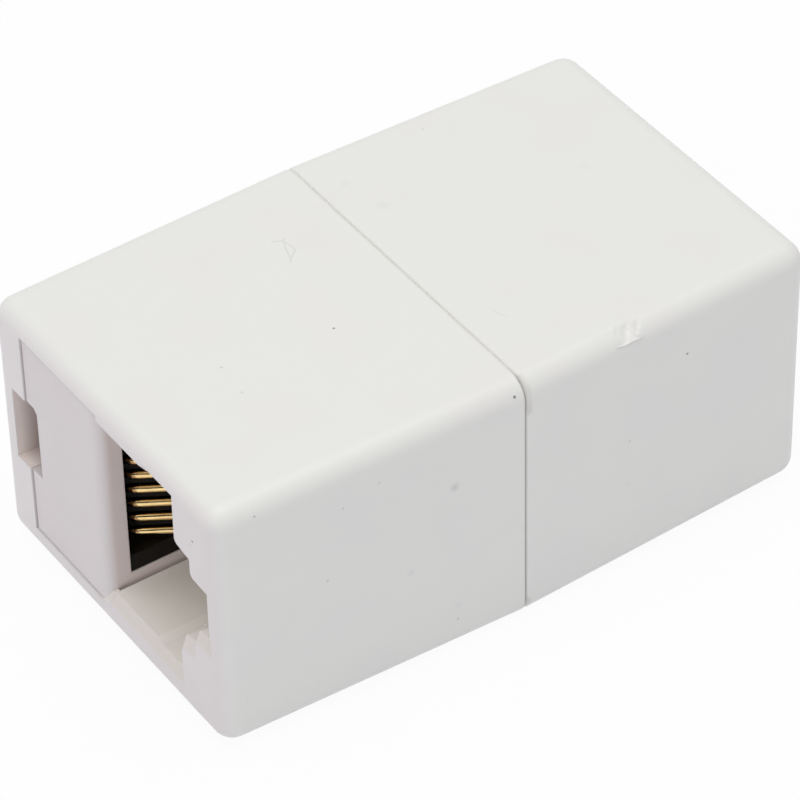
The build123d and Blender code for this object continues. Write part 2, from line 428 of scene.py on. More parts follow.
def empty_material(name):
    """Material without nodes, and its tree."""
    material = bpy.data.materials.new(name)
    material.use_nodes = True
    material.node_tree.nodes.clear()
    return material, material.node_tree


def new_material(name):
    """Material with its output and one main shader, and its tree and shader."""
    material, tree = empty_material(name)
    shader = shade(tree, "ShaderNodeBsdfPrincipled")
    shade(tree, "ShaderNodeOutputMaterial", {"Surface": shader.outputs["BSDF"]})
    return material, tree, shader


def mark_group(name, vectors, number, build):
    """Node group that tells how much of a soft mark lies at a place, made on its first use."""
    group = bpy.data.node_groups.get(name)
    if group:
        return group
    group = bpy.data.node_groups.new(name, "ShaderNodeTree")
    for vector in ("Place", *vectors):
        group.interface.new_socket(vector, in_out="INPUT", socket_type="NodeSocketVector")
    group.interface.new_socket(number, in_out="INPUT", socket_type="NodeSocketFloat")
    group.interface.new_socket("Mark", in_out="OUTPUT", socket_type="NodeSocketFloat")
    given = shade(group, "NodeGroupInput").outputs
    shade(group, "NodeGroupOutput", {"Mark": build(group, given)})
    return group


def round_mark(tree, given):
    """1 at the centre, 0 at the reach, which may differ by axis."""
    offset = calc_vector(tree, "SUBTRACT", given["Place"], given["Centre"])
    length = calc_vector(tree, "LENGTH", calc_vector(tree, "DIVIDE", offset, given["Reach"]))
    return between(tree, length, 1.0, 0.0, given["Edge"], 1.0, "SMOOTHSTEP")


def line_mark(tree, given):
    """1 on a straight line from the start, 0 at its width."""
    along = given["Along"]
    offset = calc_vector(tree, "SUBTRACT", given["Place"], given["Start"])
    dot = calc_vector(tree, "DOT_PRODUCT", offset, along)
    share = calc(tree, "DIVIDE", dot, calc_vector(tree, "DOT_PRODUCT", along, along), use_clamp=True)
    away = calc_vector(tree, "DISTANCE", offset, calc_vector(tree, "SCALE", along, Scale=share))
    return between(tree, away, 1.0, 0.0, 0.0, given["Width"], "SMOOTHSTEP")


def at(x, y, z):
    """Place from millimetres."""
    return Vector((x, y, z)) * MM


def on_top(x, y):
    """Place on the top face, from millimetres."""
    return Vector((x * MM, y * MM, HEIGHT - TOP_DRAFT * abs(x * MM) / HALF_LENGTH))


def on_side(x, z):
    """Place on the long side towards the camera, from millimetres."""
    return Vector((x * MM, SIDE_DRAFT * abs(x * MM) / HALF_LENGTH - HALF_WIDTH, z * MM))


def on_end(y, z):
    """Place on the end face of the near port, from millimetres."""
    return Vector((-HALF_LENGTH, y * MM, z * MM))


# Dark specks in the plastic: place, radius in millimetres and strength
SPECKS = (
    (on_top(-5.6, -1.95), 0.10, 0.75),
    (on_top(-12.1, -1.15), 0.11, 0.25),
    (on_top(-12.3, -3.45), 0.12, 0.16),
    (on_side(-0.64, 15.95), 0.12, 0.85),
    (on_side(-9.1, 14.35), 0.08, 0.30),
    (on_side(-11.3, 13.7), 0.09, 0.30),
    (on_side(-12.4, 9.2), 0.09, 0.30),
    (on_side(-4.4, 2.2), 0.10, 0.35),
    (on_side(10.7, 13.2), 0.12, 0.60),
    (on_side(6.9, 9.0), 0.10, 0.25),
    (on_side(-16.5, 15.75), 0.10, 0.35),
    (on_end(-8.95, 13.8), 0.11, 0.80),
    (on_end(-8.7, 13.4), 0.10, 0.20),
    (on_top(7.9, 9.4), 0.10, 0.20),
)
SPECK_COLOUR = (0.06, 0.055, 0.05, 1)

# Faint wide smudges: place, radius in millimetres and strength
SMUDGES = (
    (on_side(-4.5, 11.7), 0.45, 0.24),
    (on_side(-7.3, 7.1), 0.35, 0.10),
    (on_side(-4.35, 3.2), 0.40, 0.06),
    (on_side(6.9, 5.9), 0.40, 0.04),
    (on_top(2.3, 5.1), 0.55, 0.07),
    (on_top(1.7, 7.8), 0.45, 0.06),
    (on_top(13.2, 1.55), 0.55, 0.04),
)
SMUDGE_COLOUR = (0.25, 0.25, 0.30, 1)

# Painted highlights on the nick: place, radius in millimetres and strength
NICK_HIGHLIGHTS = (
    (at(7.10, -10.95, 16.15), 0.50, 0.55),
    (at(6.60, -11.15, 15.98), 0.30, 0.40),
    (at(7.60, -11.00, 16.10), 0.25, 0.30),
)
NICK_HIGHLIGHT_COLOUR = (0.95, 0.91, 0.90, 1)

# Share of each kind of mark's radius that has its full strength, and how many radii deep a mark goes
SPECK_MIDDLE = 0.3
SMUDGE_MIDDLE = 0.0
NICK_HIGHLIGHT_MIDDLE = 0.2
MARK_DEPTH = 5

# Scratches on the top face, each a line of points, which are cut in, and one that is only seen
SCRATCHES = (
    (on_top(-4.30, 5.97), on_top(-3.78, 5.72), on_top(-3.70, 5.26), on_top(-3.62, 4.74)),
    (on_top(-3.62, 4.74), on_top(-3.85, 4.52), on_top(-4.28, 4.19), on_top(-4.44, 3.95)),
    (on_top(-3.80, 5.66), on_top(-4.05, 4.95), on_top(-4.26, 4.22)),
    (on_top(-3.78, 5.74), on_top(-3.58, 5.86)),
)
LIGHT_SCRATCHES = ((on_top(2.04, -5.53), on_top(2.15, -6.02), on_top(2.26, -6.36)),)
SCRATCH_WIDTH = 0.085 * MM
SCRATCH_DEPTH = 0.006 * MM
SCRATCH_STRENGTH = 0.19
LIGHT_SCRATCH_STRENGTH = 0.13
SCRATCH_COLOUR = (0.30, 0.28, 0.27, 1)

# Painted shade beside the seam, brownish, at the top corner and at the foot
SEAM_SHADE_LINES = (
    (at(0.15, -10.70, 16.45), at(0.22, -11.25, 15.95), on_side(0.20, 14.6)),
    (on_side(0.12, 1.2), on_side(0.12, 0.2)),
)
SEAM_SHADE_WIDTH = 0.32 * MM
SEAM_SHADE_STRENGTH = 0.30
SEAM_SHADE_COLOUR = (0.42, 0.37, 0.31, 1)


def spots(tree, place, marks, middle):
    """All round marks of a list as one value between 0 and 1."""
    group = mark_group("soft_spot", ("Centre", "Reach"), "Edge", round_mark)
    values = []
    for centre, radius, strength in marks:
        side_mark = abs(centre.y) > HALF_WIDTH - SIDE_DRAFT - MM and centre.z < HEIGHT - MM / 2
        end_mark = centre.x <= -HALF_LENGTH
        reach = Vector((1, 1, 1)) * radius * MM
        reach[0 if end_mark else 1 if side_mark else 2] *= MARK_DEPTH
        inputs = {"Place": place, "Centre": centre, "Reach": reach, "Edge": middle}
        mark = shade(tree, "ShaderNodeGroup", inputs, node_tree=group).outputs["Mark"]
        values.append(calc(tree, "MULTIPLY", mark, strength))
    return strongest(tree, values)


def scratches(tree, place, lines, width):
    """All lines of a list as one value between 0 and 1."""
    group = mark_group("soft_line", ("Start", "Along"), "Width", line_mark)
    values = []
    for line in lines:
        for start, end in zip(line, line[1:]):
            inputs = {"Place": place, "Start": start, "Along": end - start, "Width": width}
            values.append(shade(tree, "ShaderNodeGroup", inputs, node_tree=group).outputs["Mark"])
    return strongest(tree, values)


# Moulded plastic: its patches, its glossy areas and their spread of roughness, its waves and its grain
PATCH_SIZE = 4 * MM
GLOSS_SIZE = 1.5 * MM
GLOSS_DETAIL = 4.0
GLOSS_SPREAD = (-0.04, 0.05)
WAVE_SIZE = 3 * MM
WAVE_DETAIL = 1.0
WAVE_DEPTH = 0.012 * MM
GRAIN_DETAIL = 3.0
GRAIN_ROUGHNESS = 0.6
GRAIN_DEPTH = 0.0022 * MM
PLASTIC_IOR = 1.5
EDGE_SAMPLES = 6

Plastic = namedtuple("Plastic", "material tree shader place base grain")


def moulded_plastic(name, colour, patch_colour, roughness, shell, softness=1.0):
    """Satin moulded plastic: faint patches, fine grain, shallow waves and soft edges."""
    material, tree, shader = new_material(name)
    place = shade(tree, "ShaderNodeTexCoord").outputs["Object"]
    base = graded(tree, noise(tree, place, PATCH_SIZE), NOISE_RANGE, colour, patch_colour)
    smoothest, roughest = (roughness + part for part in GLOSS_SPREAD)
    gloss = between(tree, noise(tree, place, GLOSS_SIZE, GLOSS_DETAIL), smoothest, roughest)
    radius = shell.edge_softness * softness
    rounded = shade(tree, "ShaderNodeBevel", {"Radius": radius}, samples=EDGE_SAMPLES).outputs["Normal"]
    waves = bump(tree, noise(tree, place, WAVE_SIZE, WAVE_DETAIL), WAVE_DEPTH, rounded)
    grain = noise(tree, place, shell.grain_size, GRAIN_DETAIL, GRAIN_ROUGHNESS)
    grain = bump(tree, grain, GRAIN_DEPTH, waves)
    for socket, value in (("Base Color", base), ("Roughness", gloss), ("Normal", grain)):
        tree.links.new(value, shader.inputs[socket])
    shader.inputs["IOR"].default_value = PLASTIC_IOR
    return Plastic(material, tree, shader, place, base, grain)


def box_mask(tree, place, centre, half, fade):
    """1 inside a box, 0 outside, with a soft border of a given width."""
    away = calc_vector(tree, "ABSOLUTE", calc_vector(tree, "SUBTRACT", place, centre))
    over = calc_vector(tree, "SUBTRACT", away, half)
    axes = shade(tree, "ShaderNodeSeparateXYZ", {0: over}).outputs
    farthest = strongest(tree, [axes[0], axes[1], axes[2]])
    return between(tree, farthest, 1.0, 0.0, -fade, 0.0)


# The room inside the housing, where the walls are painted warmer and lighter for light that comes through the
# plastic.
# The shells' own goes past the end faces, and the inserts' begins behind their front plates
ROOM_CENTRE = Vector((0, 0, HEIGHT / 2))
ROOM_HALF = Vector((HALF_LENGTH - 0.1 * MM, HALF_WIDTH - 1.3 * MM, HEIGHT / 2 - 1.25 * MM))
ROOM_FADE = 0.4 * MM
SHELL_ROOM = ROOM_HALF + Vector((2 * ROOM_FADE, 0, 0))
INSERT_ROOM = ROOM_HALF - Vector((0.25 * MM, 0, 0))

# Depths behind the end faces: over which the ends' painted tint fades, where the outside stops, where the
# flare's painted shade stops and where the release window's painted shade darkens
END_FADE = 0.6 * MM
SKIN_DEPTHS = (0.02 * MM, 0.08 * MM)
FLARE_DEPTHS = (0.42 * MM, 0.50 * MM)
RELEASE_DEPTHS = (0.35 * MM, 1.6 * MM)

# Where the insert's side of a port begins, from the middle plane, and the release window's half height
SEAT_SIDE = (1.3 * MM, 1.6 * MM)
RELEASE_HALF = 2.43 * MM
RELEASE_FADE = 0.1 * MM


def room_colour(tree, finish, axes, side, depth):
    """Painted light and shade on the walls inside: the sockets, the inserts' seats and the release windows.
    """
    socket = graded(tree, depth, FLARE_DEPTHS, finish.flare_shade_colour, finish.inner_glow_colour)
    window = graded(tree, depth, RELEASE_DEPTHS, finish.release_lit_colour, finish.release_shaded_colour)
    above = calc(tree, "ABSOLUTE", calc(tree, "SUBTRACT", axes["Z"], PORT_HEIGHT))
    release = between(tree, above, 1.0, 0.0, RELEASE_HALF, RELEASE_HALF + RELEASE_FADE)
    beside = mix_colour(tree, release, opaque(finish.seat_shade_colour), window)
    seat = between(tree, side, 1.0, 0.0, -HALF_LENGTH * SEAT_SIDE[1], -HALF_LENGTH * SEAT_SIDE[0])
    return mix_colour(tree, seat, socket, beside)


def marked_colour(tree, place, base, cuts):
    """Colour with its smudges, painted shade beside the seam, painted highlights on the nick, scratches and
    specks.
    """
    base = mix_colour(tree, spots(tree, place, SMUDGES, SMUDGE_MIDDLE), base, SMUDGE_COLOUR)
    # Painted shade beside the seam
    seam_shade = calc(tree, "MULTIPLY", scratches(tree, place, SEAM_SHADE_LINES, SEAM_SHADE_WIDTH), SEAM_SHADE_STRENGTH)
    base = mix_colour(tree, seam_shade, base, SEAM_SHADE_COLOUR)
    # Painted highlights on the nick
    base = mix_colour(tree, spots(tree, place, NICK_HIGHLIGHTS, NICK_HIGHLIGHT_MIDDLE), base, NICK_HIGHLIGHT_COLOUR)
    light = scratches(tree, place, LIGHT_SCRATCHES, SCRATCH_WIDTH)
    shares = [
        calc(tree, "MULTIPLY", cuts, SCRATCH_STRENGTH),
        calc(tree, "MULTIPLY", light, LIGHT_SCRATCH_STRENGTH),
    ]
    base = mix_colour(tree, strongest(tree, shares), base, SCRATCH_COLOUR)
    return mix_colour(tree, spots(tree, place, SPECKS, SPECK_MIDDLE), base, SPECK_COLOUR)


def shell_material(finish):
    """White shell plastic with painted light and shade on its ends and in its room, and its marks."""
    material, tree, shader, place, base, grain = moulded_plastic(
        "white_shell_plastic", finish.colour, finish.warm_colour, finish.roughness, finish
    )
    axes = shade(tree, "ShaderNodeSeparateXYZ", {0: place}).outputs
    away = calc(tree, "ABSOLUTE", axes["X"])
    side = calc(tree, "MULTIPLY", axes["X"], axes["Y"])
    depth = calc(tree, "SUBTRACT", HALF_LENGTH, away)
    edge = HALF_LENGTH * HALF_WIDTH
    # Painted tint of light on the end faces, darker beside the stepped keyway
    end = between(tree, away, 0.0, 1.0, HALF_LENGTH - END_FADE, HALF_LENGTH)
    ends = graded(tree, side, (-edge, edge), finish.end_light_tint_colour, finish.keyway_end_shade_colour)
    base = mix_colour(tree, end, base, ends)
    # Painted light and shade on the walls in the room
    inside = between(tree, depth, 0.0, 1.0, *SKIN_DEPTHS)
    room = calc(tree, "MULTIPLY", box_mask(tree, place, ROOM_CENTRE, SHELL_ROOM, ROOM_FADE), inside)
    base = mix_colour(tree, room, base, room_colour(tree, finish, axes, side, depth))
    cuts = scratches(tree, place, SCRATCHES, SCRATCH_WIDTH)
    tree.links.new(marked_colour(tree, place, base, cuts), shader.inputs["Base Color"])
    tree.links.new(bump(tree, cuts, SCRATCH_DEPTH, grain, invert=True), shader.inputs["Normal"])
    return material


# Colours of the faint patches, as shares of the main colours
INSERT_PATCH = (1.01, 0.985, 0.985)
CORE_PATCH = (0.96, 0.96, 0.96)
COMB_PATCH = (2, 2, 2)

# The combs and the flash: their crisper edges as a share of the shells' edge softness, and the combs' sheen
COMB_SOFTNESS = 0.5
FLASH_SOFTNESS = 0.25
COMB_SHEEN = 0.12


def tinted(colour, shares):
    """Colour with each part multiplied by a share."""
    return tuple(value * share for value, share in zip(colour, shares))


def insert_material(finish, shell):
    """Slightly greyer white plastic of the inserts, with painted warm light behind their front plates."""
    patch = tinted(finish.colour, INSERT_PATCH)
    plastic = moulded_plastic("white_insert_plastic", finish.colour, patch, finish.roughness, shell)
    tree = plastic.tree
    # Painted warm light on the inserts' walls inside
    inside = box_mask(tree, plastic.place, ROOM_CENTRE, INSERT_ROOM, ROOM_FADE)
    base = mix_colour(tree, inside, plastic.base, opaque(finish.inner_glow_colour))
    tree.links.new(base, plastic.shader.inputs["Base Color"])
    return plastic.material


def core_material(finish, shell):
    """Plain plastic of the cores."""
    patch = tinted(finish.core_colour, CORE_PATCH)
    return moulded_plastic("core_plastic", finish.core_colour, patch, finish.roughness, shell).material


def comb_material(finish, shell):
    """Black comb plastic with a faint grain."""
    patch = tinted(finish.colour, COMB_PATCH)
    plastic = moulded_plastic(
        "black_comb_plastic", finish.colour, patch, finish.roughness, shell, COMB_SOFTNESS
    )
    plastic.shader.inputs["Specular IOR Level"].default_value = COMB_SHEEN
    return plastic.material


def from_row(tree, height, shape):
    """How far above its own wire's middle line a point lies."""
    first = FIRST_WIRE[0].z + shape.diameter / 2
    up = calc(tree, "SUBTRACT", height, first - shape.pitch / 2)
    share = calc(tree, "FRACT", calc(tree, "DIVIDE", up, shape.pitch))
    return calc(tree, "MULTIPLY_ADD", share, shape.pitch, -shape.pitch / 2)


def bend_shade_shares(tree, place, shape):
    """How far painted shade dulls and then blackens the plating at the bends, each share pointed along the
    wire.
    """
    radius = shape.diameter / 2
    leg = Vector((math.cos(shape.leg_angle), -math.sin(shape.leg_angle), 0))
    side = Vector((-leg.y, leg.x, 0))
    back = radius + shape.hook_radius
    bend = Vector((back - FIRST_WIRE[1].x, FIRST_WIRE[1].y - back, 0)) - side * shape.hook_radius
    axes = shade(tree, "ShaderNodeSeparateXYZ", {0: place}).outputs
    port = calc(tree, "MULTIPLY", calc(tree, "SIGN", axes["X"]), -1.0)
    near = calc_vector(tree, "SCALE", place, Scale=port)
    offset = calc_vector(tree, "SUBTRACT", near, bend)
    along = calc_vector(tree, "DOT_PRODUCT", offset, -leg)
    slant = math.sqrt(0.5)
    across = calc_vector(tree, "DOT_PRODUCT", offset, -side * slant)
    across = calc(tree, "MULTIPLY_ADD", from_row(tree, axes["Z"], shape), -slant, across)
    across = calc(tree, "ABSOLUTE", across)
    shares = []
    for begin, fade, point in (
        (shape.shade_start, shape.shade_fade, shape.shade_point),
        (shape.shadow_start, shape.shadow_fade, shape.shadow_point),
    ):
        reach = calc(tree, "MULTIPLY_ADD", across, point / radius, along)
        shares.append(between(tree, reach, 0.0, 1.0, begin, begin + fade))
    return shares


# Gold plating: its duller patches, its glossy areas and their spread of roughness, and its drawn lines
TARNISH_SIZE = 0.9 * MM
TARNISH_SHARE = 0.55
PLATING_SIZE = 0.5 * MM
PLATING_DETAIL = 4.0
PLATING_SPREAD = (-0.06, 0.1)
DRAWN_STRETCH = (0.15, 0.15, 1.0)
DRAWN_SIZE = 0.05 * MM
DRAWN_DETAIL = 3.0
DRAWN_DEPTH = 0.0015 * MM


def gold_material(shape):
    """Gold plating on drawn wire, duller in patches."""
    material, tree, shader = new_material("gold_wire")
    place = shade(tree, "ShaderNodeTexCoord").outputs["Object"]
    drawn = shade(tree, "ShaderNodeMapping", {"Vector": place, "Scale": DRAWN_STRETCH}).outputs["Vector"]
    tarnish = between(tree, noise(tree, place, TARNISH_SIZE, PLATING_DETAIL), 0.0, TARNISH_SHARE)
    base = mix_colour(tree, tarnish, opaque(shape.gold), opaque(shape.worn_gold))
    # Painted shade on the hooks, dull brown and then black
    shaded, black = bend_shade_shares(tree, place, shape)
    base = mix_colour(tree, shaded, base, opaque(shape.bend_shade_colour))
    base = mix_colour(tree, black, base, opaque(shape.bend_shadow_colour))
    smoothest, roughest = (shape.roughness + part for part in PLATING_SPREAD)
    gloss = between(tree, noise(tree, place, PLATING_SIZE, PLATING_DETAIL), smoothest, roughest)
    lines = bump(tree, noise(tree, drawn, DRAWN_SIZE, DRAWN_DETAIL), DRAWN_DEPTH)
    for socket, value in (("Base Color", base), ("Roughness", gloss), ("Normal", lines)):
        tree.links.new(value, shader.inputs[socket])
    shader.inputs["Metallic"].default_value = 1.0
    return material


def wire_tree(material):
    """Geometry nodes that bend, thicken and repeat one wire's route."""
    tree = bpy.data.node_groups.new("spring_wires", "GeometryNodeTree")
    tree.is_modifier = True
    sockets = [("Geometry", "INPUT", "NodeSocketGeometry")]
    for name in ("Wire Radius", "Hook Radius", "Crossing Radius", "Crossing End", "Pitch"):
        sockets.append((name, "INPUT", "NodeSocketFloat"))
    for name in ("Wires", "Bend Steps", "Sides"):
        sockets.append((name, "INPUT", "NodeSocketInt"))
    sockets.append(("Geometry", "OUTPUT", "NodeSocketGeometry"))
    for name, way, kind in sockets:
        tree.interface.new_socket(name, in_out=way, socket_type=kind)
    given = shade(tree, "NodeGroupInput").outputs
    place = shade(tree, "GeometryNodeInputPosition").outputs["Position"]
    away = calc(tree, "ABSOLUTE", shade(tree, "ShaderNodeSeparateXYZ", {0: place}).outputs["X"])
    at_hook = calc(tree, "GREATER_THAN", away, given["Crossing End"])
    bend = shade(
        tree,
        "ShaderNodeMix",
        {0: at_hook, 2: given["Crossing Radius"], 3: given["Hook Radius"]},
        data_type="FLOAT",
    ).outputs[0]
    bent = shade(
        tree,
        "GeometryNodeFilletCurve",
        {"Curve": given["Geometry"], "Count": given["Bend Steps"], "Radius": bend},
        mode="POLY",
    ).outputs["Curve"]
    circle = {"Resolution": given["Sides"], "Radius": given["Wire Radius"]}
    ring = shade(tree, "GeometryNodeCurvePrimitiveCircle", circle).outputs["Curve"]
    rod = shade(tree, "GeometryNodeCurveToMesh", {"Curve": bent, "Profile Curve": ring, "Fill Caps": True})
    smooth = shade(tree, "GeometryNodeSetShadeSmooth", {"Geometry": rod.outputs["Mesh"]}).outputs["Geometry"]
    step = shade(tree, "ShaderNodeCombineXYZ", {"Z": given["Pitch"]}).outputs[0]
    ladder = shade(tree, "GeometryNodeMeshLine", {"Count": given["Wires"], "Offset": step}).outputs["Mesh"]
    copies = shade(tree, "GeometryNodeInstanceOnPoints", {"Points": ladder, "Instance": smooth})
    real = shade(tree, "GeometryNodeRealizeInstances", {"Geometry": copies.outputs["Instances"]})
    plated = shade(
        tree, "GeometryNodeSetMaterial", {"Geometry": real.outputs["Geometry"], "Material": material}
    )
    shade(tree, "NodeGroupOutput", {"Geometry": plated.outputs["Geometry"]})
    return tree


def add_object(name, data):
    """New object in the scene."""
    added = bpy.data.objects.new(name, data)
    bpy.context.scene.collection.objects.link(added)
    return added


def mesh_of(name, shape, material=None):
    """Mesh of a shape, which is then freed."""
    mesh = bpy.data.meshes.new(name)
    shape.to_mesh(mesh)
    shape.free()
    if material:
        mesh.materials.append(material)
    return mesh


def baked_mesh(source):
    """Mesh of an object with its modifiers done. The source is then removed."""
    bpy.context.view_layer.update()
    graph = bpy.context.evaluated_depsgraph_get()
    mesh = bpy.data.meshes.new_from_object(source.evaluated_get(graph), depsgraph=graph)
    bpy.data.objects.remove(source)
    return mesh


def run_tree(source, tree, values):
    """Runs a tree on an object and returns its result as a plain mesh."""
    modifier = source.modifiers.new("nodes", "NODES")
    modifier.node_group = tree
    sockets = {
        item.name: item.identifier
        for item in tree.interface.items_tree
        if item.item_type == "SOCKET" and item.in_out == "INPUT"
    }
    for name, value in values.items():
        modifier[sockets[name]] = value
    return baked_mesh(source)


def add_piece(name, mesh, slot, *replaced):
    """Adds a finished mesh as a piece that rides on the coupler's body."""
    mesh.name = name
    piece = add_object(name, mesh)
    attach(piece, "root")
    if replaced:
        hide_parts(*replaced)


def wire_route(shape):
    """Curve with the corners of one wire's route at the height of the lowest wire."""
    low, high = FIRST_WIRE
    radius = shape.diameter / 2
    run = high.y - radius
    hook = high.x - radius - shape.hook_radius
    corner = hook + shape.hook_radius / math.tan(shape.leg_angle / 2)
    tip = corner - (run + shape.tip_reach) / math.tan(shape.leg_angle)
    height = (low.z + high.z) / 2
    corners = (
        (-tip, -shape.tip_reach),
        (-corner, run),
        (-shape.cross_half, run),
        (shape.cross_half, -run),
        (corner, -run),
        (tip, shape.tip_reach),
    )
    curve = bpy.data.curves.new("wire_route", "CURVE")
    curve.dimensions = "3D"
    spline = curve.splines.new("POLY")
    spline.points.add(len(corners) - 1)
    for point, (x, y) in zip(spline.points, corners):
        point.co = (x, y, height, 1)
    return add_object("wire_route", curve)


def set_material(name, material):
    """Gives a fixed node one material."""
    slots = nodes[name].data.materials
    slots.clear()
    slots.append(material)


# Distance within which a copy's loose corners are joined, and size under which its faces vanish
WELD_DISTANCE = 0.0005 * MM
SLIVER_SIZE = 0.0001 * MM

# Angle from which an edge stays sharp
SHARP_ANGLE = math.radians(28)


def welded_copy(name):
    """Closed copy of a fixed node's mesh, as an object of its own."""
    shape = bmesh.new()
    shape.from_mesh(nodes[name].data)
    bmesh.ops.remove_doubles(shape, verts=shape.verts, dist=WELD_DISTANCE)
    bmesh.ops.dissolve_degenerate(shape, edges=shape.edges, dist=SLIVER_SIZE)
    return add_object(name + "_copy", mesh_of(name + "_copy", shape))


def even_shading(mesh):
    """Smooth faces, sharp corners, and normals that favour the large faces."""
    shape = bmesh.new()
    shape.from_mesh(mesh)
    for face in shape.faces:
        face.smooth = True
    for edge in shape.edges:
        edge.smooth = len(edge.link_faces) == 2 and edge.calc_face_angle(math.pi) < SHARP_ANGLE
    shape.to_mesh(mesh)
    shape.free()
    holder = add_object("shading_holder", mesh)
    weighted = holder.modifiers.new("weighted", "WEIGHTED_NORMAL")
    weighted.keep_sharp = True
    return baked_mesh(holder)


# The nick in the far shell's top edge, in millimetres: its middle and half size, how steeply its floor climbs
# to each end, the height of the block that cuts it, the slope and turn of its floor, and the block's steps
NICK_MIDDLE = (7.24, -10.86, 16.19)
NICK_HALF = (1.45, 0.95)
NICK_CLIMB = 0.15
NICK_HEIGHT = 1.5
NICK_SLOPE = math.radians(38)
NICK_TURN = math.radians(-3)
NICK_STEPS = (58, 38)
# Waves of the nick's floor: height, radians per millimetre along and across, and start
NICK_WAVES = ((0.035, 4.1, 2.3, 0.4), (0.022, 9.0, -5.0, 1.9), (0.012, 17.0, 11.0, 0.7))
# The burr along the nick's lower lip: its middle and half axes in millimetres
BURR_MIDDLE = (6.80, -11.27, 15.93)
BURR_HALF = (0.85, 0.075, 0.06)
BURR_DIVISIONS = 4


def nick_frame():
    """Directions along, up and out of the nick's floor."""
    spin = Matrix.Rotation(NICK_TURN, 3, "Z")
    along = spin @ Vector((1, 0, 0))
    upward = spin @ Vector((0, math.cos(NICK_SLOPE), math.sin(NICK_SLOPE)))
    return along, upward, along.cross(upward)


def solid_object(name, shape):
    """Object of a closed shape, which is then freed."""
    bmesh.ops.recalc_face_normals(shape, faces=shape.faces)
    return add_object(name, mesh_of(name, shape))


def nick_chisel():
    """Block whose rough underside cuts the nick's floor."""
    along, upward, out = nick_frame()
    shape = bmesh.new()
    across, deep = NICK_STEPS
    floor, roof = [], []
    for i in range(across + 1):
        for j in range(deep + 1):
            u = (2 * i / across - 1) * NICK_HALF[0]
            v = (2 * j / deep - 1) * NICK_HALF[1]
            rough = sum(size * math.sin(a * u + b * v + begin) for size, a, b, begin in NICK_WAVES)
            place = Vector(NICK_MIDDLE) + along * u + upward * v
            floor.append(shape.verts.new((place + out * (rough + NICK_CLIMB * u * u)) * MM))
            roof.append(shape.verts.new((place + out * NICK_HEIGHT) * MM))
    step = deep + 1
    for i in range(across):
        for j in range(deep):
            corner = i * step + j
            for sheet in (floor, roof):
                shape.faces.new([sheet[corner + k] for k in (0, 1, step + 1, step)])
    rim = [*range(deep), *(i * step + deep for i in range(across))]
    rim += [across * step + j for j in range(deep, 0, -1)] + [i * step for i in range(across, 0, -1)]
    for first, second in zip(rim, rim[1:] + rim[:1]):
        shape.faces.new((floor[first], floor[second], roof[second], roof[first]))
    return solid_object("nick_chisel", shape)


def nick_burr():
    """Thin rounded ridge pushed out along the nick's lower lip."""
    shape = bmesh.new()
    bmesh.ops.create_icosphere(shape, subdivisions=BURR_DIVISIONS, radius=1.0)
    turn = Matrix.Rotation(NICK_TURN, 3, "Z")
    for vertex in shape.verts:
        local = Vector([value * half for value, half in zip(vertex.co, BURR_HALF)])
        local.z += NICK_WAVES[0][0] * math.sin(NICK_WAVES[0][1] * local.x)
        vertex.co = (turn @ local + Vector(BURR_MIDDLE)) * MM
    return solid_object("nick_burr", shape)


def chipped_shell(material):
    """Far shell with the nick knocked into its top edge."""
    body = welded_copy("far_shell")
    tools = {"DIFFERENCE": nick_chisel(), "UNION": nick_burr()}
    for kind, tool in tools.items():
        cut = body.modifiers.new("nick", "BOOLEAN")
        cut.operation = kind
        cut.solver = "EXACT"
        cut.object = tool
    mesh = baked_mesh(body)
    for tool in tools.values():
        bpy.data.objects.remove(tool)
    mesh.materials.clear()
    mesh.materials.append(material)
    return even_shading(mesh)


# The corners where the inserts' rounded mouths meet the flared sockets, at the near port: X and Y,
# and how far below the port's middle, in millimetres
LIP_FRONT = -18.995
LIP_REAR = -18.30
LIP_INNER = 0.28
LIP_OUTER = 1.12
LIP_NOTCH = 0.62
LIP_BASE = 6.95
LIP_EDGE = 6.54
LIP_BACK = 5.90
LIP_CORNERS = (
    (LIP_FRONT, LIP_INNER, LIP_BASE),
    (LIP_FRONT, LIP_OUTER, LIP_BASE),
    (LIP_REAR, LIP_OUTER, LIP_BASE),
    (LIP_REAR, LIP_INNER, LIP_BASE),
    (LIP_FRONT, LIP_INNER, LIP_EDGE),
    (LIP_FRONT + 0.065, LIP_OUTER, LIP_BASE - 0.16),
    (LIP_REAR - 0.25, LIP_INNER, LIP_BACK),
    (LIP_REAR - 0.30, LIP_NOTCH, LIP_BACK + 0.06),
    (LIP_REAR, LIP_INNER, LIP_BACK),
    (LIP_REAR, LIP_NOTCH, LIP_BACK + 0.06),
)


def seat_lips(material):
    """Small webs that carry the lower flare of both sockets round to the inserts."""
    middle = PORT_HEIGHT / MM
    shape = bmesh.new()
    for turn in (1, -1):
        corners = [shape.verts.new(at(x * turn, y * turn, middle - drop)) for x, y, drop in LIP_CORNERS]
        hull = bmesh.ops.convex_hull(shape, input=corners)
        bmesh.ops.delete(shape, geom=hull["geom_interior"], context="VERTS")
    bmesh.ops.recalc_face_normals(shape, faces=shape.faces)
    return mesh_of("seat_lips", shape, material)


# The flash in the top of the seam: half width along X, height, its ends along Y, how far it lies below the
# top, and how its two ends sink or rise
FLASH_HALF = 0.06 * MM
FLASH_THICKNESS = 0.3 * MM
FLASH_ENDS = (-11.15 * MM, 11.3 * MM)
FLASH_TOP = 0.13 * MM
FLASH_SAGS = (0.30 * MM, -0.08 * MM)
FLASH_POWERS = (20, 5)
FLASH_STEPS = 96


def top_height(y):
    """Height of the housing's top at the seam, over its rounded edges."""
    over = max(0.0, abs(y) - HALF_WIDTH + EDGE_RADIUS)
    return HEIGHT - EDGE_RADIUS + math.sqrt(EDGE_RADIUS**2 - over**2)


